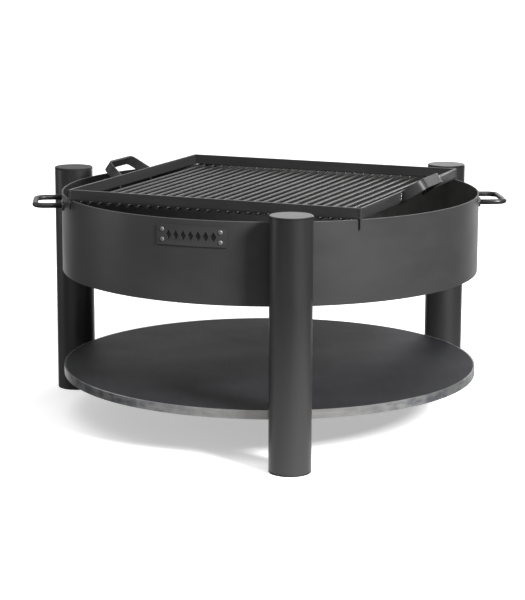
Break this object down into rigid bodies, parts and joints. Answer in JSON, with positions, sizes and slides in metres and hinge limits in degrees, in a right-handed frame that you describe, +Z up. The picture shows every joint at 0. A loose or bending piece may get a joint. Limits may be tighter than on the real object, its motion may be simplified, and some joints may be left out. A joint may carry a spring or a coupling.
{
  "type": "fire pit with grate",
  "caption": "Round steel fire pit on three tube legs, with a log shelf below the bowl, two carrying handles and a square lift-off cooking grate of round rods.",
  "frame": {"origin": "on the ground, under the axis of the bowl, at the centre of the circle that the three legs stand on", "axes": "+Z up; the front leg stands towards -Y; the two bowl handles lie along X"},
  "size_m": [0.91, 0.8765, 0.481],
  "materials": {
    "bowl_paint": "satin",
    "bowl_floor_paint": "matte",
    "weld_bead": "satin",
    "leg_paint": "satin",
    "cap_paint": "satin",
    "foot_paint": "satin",
    "shelf_paint": "satin",
    "shelf_band_paint": "satin",
    "handle_paint": "satin",
    "plate_paint": "satin",
    "rivet_metal": "satin",
    "grate_bar_paint": "satin",
    "grate_rod_paint": "satin",
    "grate_pin_paint": "satin",
    "grate_handle_paint": "satin"
  },
  "bodies": {
    "fire_pit": {"bowl_wall": "bowl_paint", "bowl_floor": "bowl_floor_paint", "bowl_floor_weld": "weld_bead", "front_leg_tube": "leg_paint", "right_leg_tube": "leg_paint", "left_leg_tube": "leg_paint", "front_leg_cap": "cap_paint", "right_leg_cap": "cap_paint", "left_leg_cap": "cap_paint", "front_leg_foot": "foot_paint", "right_leg_foot": "foot_paint", "left_leg_foot": "foot_paint", "shelf_plate": "shelf_paint", "shelf_band": "shelf_band_paint", "bowl_leg_welds": "weld_bead", "shelf_leg_welds": "weld_bead", "right_bowl_handle": "handle_paint", "left_bowl_handle": "handle_paint", "bowl_handle_welds": "weld_bead", "name_plate": "plate_paint", "name_plate_rivets": "rivet_metal"},
    "grate": {"grate_front_bar": "grate_bar_paint", "grate_back_bar": "grate_bar_paint", "grate_right_bar": "grate_bar_paint", "grate_left_bar": "grate_bar_paint", "grate_right_handle": "grate_handle_paint", "grate_left_handle": "grate_handle_paint", "grate_handle_welds": "weld_bead", "grate_pin_front": "grate_pin_paint", "grate_pin_right": "grate_pin_paint", "grate_pin_back": "grate_pin_paint", "grate_pin_left": "grate_pin_paint", "grate_rod_01": "grate_rod_paint", "grate_rod_02": "grate_rod_paint", "grate_rod_03": "grate_rod_paint", "grate_rod_04": "grate_rod_paint", "grate_rod_05": "grate_rod_paint", "grate_rod_06": "grate_rod_paint", "grate_rod_07": "grate_rod_paint", "grate_rod_08": "grate_rod_paint", "grate_rod_09": "grate_rod_paint", "grate_rod_10": "grate_rod_paint", "grate_rod_11": "grate_rod_paint", "grate_rod_12": "grate_rod_paint", "grate_rod_13": "grate_rod_paint", "grate_rod_14": "grate_rod_paint", "grate_rod_15": "grate_rod_paint", "grate_rod_16": "grate_rod_paint", "grate_rod_17": "grate_rod_paint", "grate_rod_18": "grate_rod_paint", "grate_rod_19": "grate_rod_paint", "grate_rod_20": "grate_rod_paint", "grate_rod_21": "grate_rod_paint", "grate_rod_22": "grate_rod_paint", "grate_rod_23": "grate_rod_paint", "grate_rod_24": "grate_rod_paint", "grate_rod_25": "grate_rod_paint", "grate_rod_26": "grate_rod_paint", "grate_rod_27": "grate_rod_paint", "grate_rod_28": "grate_rod_paint"}
  },
  "joints": [
    {"name": "grate_lift", "type": "slide", "parent": "fire_pit", "child": "grate", "axis": [0, 0, 1], "range_m": [0, 0.2]}
  ]
}
